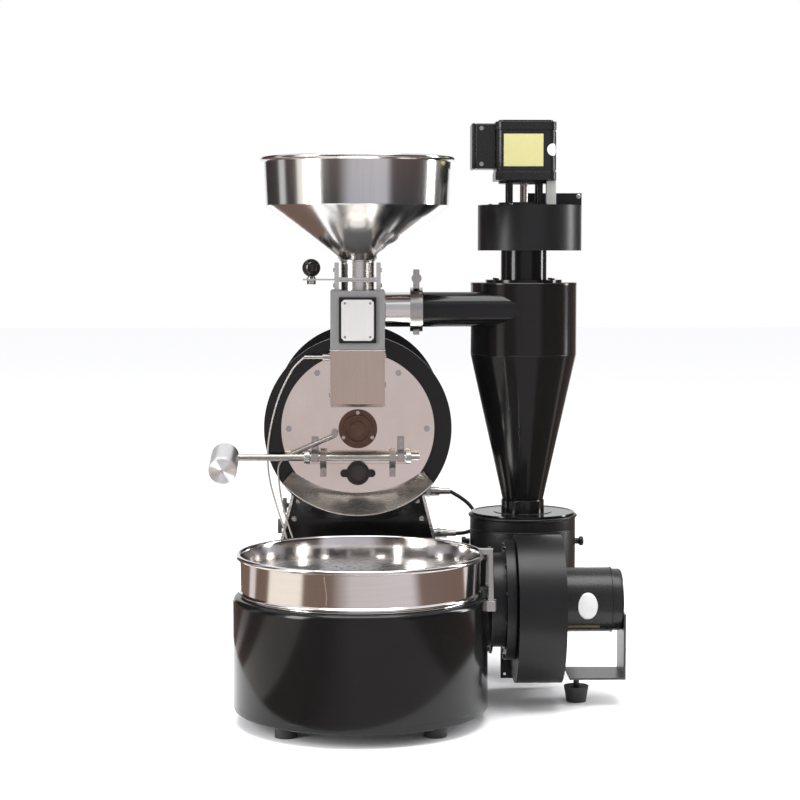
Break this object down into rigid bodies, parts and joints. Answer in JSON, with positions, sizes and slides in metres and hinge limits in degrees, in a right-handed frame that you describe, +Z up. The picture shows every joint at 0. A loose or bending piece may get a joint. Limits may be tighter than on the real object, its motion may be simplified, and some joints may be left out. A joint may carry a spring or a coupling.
{
  "type": "home coffee roaster",
  "caption": "Small gas drum coffee roaster with hopper, discharge door, cyclone chaff collector, exhaust fan and a cooling bin with its own blower.",
  "frame": {"origin": "on the floor, under the middle of the whole roaster's box", "axes": "+Z up, -Y towards the user in front of the cooling bin, +X to the user's right"},
  "size_m": [0.584, 0.839, 0.8244],
  "materials": {
    "black_enamel": "smooth black enamel",
    "grey_enamel": "satin grey enamel",
    "polished_steel": "polished stainless sheet",
    "machined_steel": "turned and ground steel",
    "turned_aluminium": "turned with fine rings",
    "bright_trim": "bright plated fasteners",
    "cast_black": "black cast housing",
    "black_plastic": "glossy black ball knob",
    "matte_plastic": "matte black plastic",
    "dark_glass": "heat-darkened sight glass",
    "black_rubber": "moulded rubber",
    "cable_sleeve": "braided probe lead",
    "chain_steel": "oiled chain steel"
  },
  "bodies": {
    "base": {"drum_shell": "black_enamel", "front_ring": "black_enamel", "rear_plate": "black_enamel", "faceplate": "polished_steel", "shaft_bearings": "machined_steel", "housing_bolts": "bright_trim", "drive_chain": "chain_steel", "gear_motor": "cast_black", "hinge_brackets": "machined_steel", "discharge_bib": "polished_steel", "chute_box": "grey_enamel", "lower_chute": "polished_steel", "nameplate_frame": "black_enamel", "hopper_bowl": "polished_steel", "hopper_neck": "polished_steel", "duct_pipe": "black_enamel", "pipe_clamp": "bright_trim", "cyclone_body": "black_enamel", "exhaust_neck": "black_enamel", "exhaust_volute": "black_enamel", "motor_lantern": "machined_steel", "exhaust_motor": "cast_black", "chaff_can": "black_enamel", "can_lid": "black_enamel", "stand_cabinet": "black_enamel", "side_covers": "polished_steel", "rubber_feet": "black_rubber", "burner_tubes": "machined_steel", "gas_fittings": "machined_steel", "gas_hose": "black_rubber", "cable_upper": "cable_sleeve", "cable_lower": "cable_sleeve", "cable_fittings": "machined_steel", "bin_shell": "black_enamel", "cooling_bowl": "polished_steel", "sieve_plate": "polished_steel", "brackets": "black_enamel", "blower_duct": "black_enamel", "blower_volute": "black_enamel", "blower_motor": "cast_black", "motor_bracket": "black_enamel"},
    "drum": {"roasting_drum": "machined_steel", "drum_shaft": "machined_steel", "drum_sprocket": "machined_steel"},
    "drive_pinion": {"motor_sprocket": "machined_steel"},
    "slide_gate": {"hopper_gate": "polished_steel", "gate_knob": "black_plastic"},
    "door": {"discharge_door": "polished_steel", "sight_glass": "dark_glass", "sight_ring": "cast_black", "door_shaft": "machined_steel", "door_straps": "machined_steel", "counterweight": "turned_aluminium"},
    "bowl_latch": {"latch_lever": "bright_trim"},
    "cooling_fan": {"blower_impeller": "machined_steel"},
    "exhaust_fan": {"exhaust_impeller": "machined_steel"},
    "burner_control": {"burner_knob": "matte_plastic"},
    "air_control": {"air_knob": "matte_plastic"},
    "clamp_nut": {"wing_nut": "bright_trim"}
  },
  "joints": [
    {"name": "drum_spin", "type": "hinge", "parent": "base", "child": "drum", "pos_m": [-0.081, 0.16545, 0.3773], "axis": [0, 1, 0], "continuous": true},
    {"name": "pinion_spin", "type": "hinge", "parent": "base", "child": "drive_pinion", "pos_m": [-0.081, 0.40545, 0.15], "axis": [0, 1, 0], "continuous": true},
    {"name": "gate_slide", "type": "slide", "parent": "base", "child": "slide_gate", "axis": [-1, 0, 0], "range_m": [0, 0.048]},
    {"name": "door_swing", "type": "hinge", "parent": "base", "child": "door", "pos_m": [-0.081, -0.05955, 0.338], "axis": [1, 0, 0], "range_deg": [-70, 0]},
    {"name": "latch_swing", "type": "hinge", "parent": "base", "child": "bowl_latch", "pos_m": [0.09867, -0.27224, 0.16], "axis": [0.1392, 0.9903, 0], "range_deg": [0, 90]},
    {"name": "cooling_fan_spin", "type": "hinge", "parent": "base", "child": "cooling_fan", "pos_m": [0.169, -0.14155, 0.145], "axis": [1, 0, 0], "continuous": true},
    {"name": "exhaust_fan_spin", "type": "hinge", "parent": "base", "child": "exhaust_fan", "pos_m": [0.1644, 0.03845, 0.68], "axis": [0, 0, 1], "continuous": true},
    {"name": "burner_turn", "type": "hinge", "parent": "base", "child": "burner_control", "pos_m": [-0.199, 0.30545, 0.223], "axis": [-1, 0, 0], "range_deg": [0, 270]},
    {"name": "air_turn", "type": "hinge", "parent": "base", "child": "air_control", "pos_m": [-0.207, 0.30545, 0.189], "axis": [-1, 0, 0], "range_deg": [0, 270]},
    {"name": "clamp_nut_turn", "type": "hinge", "parent": "base", "child": "clamp_nut", "pos_m": [0.004, -0.02955, 0.5948], "axis": [0, 1, 0], "continuous": true}
  ],
  "couplings": [
    {"joint": "pinion_spin", "follows": "drum_spin", "ratio": 3}
  ]
}
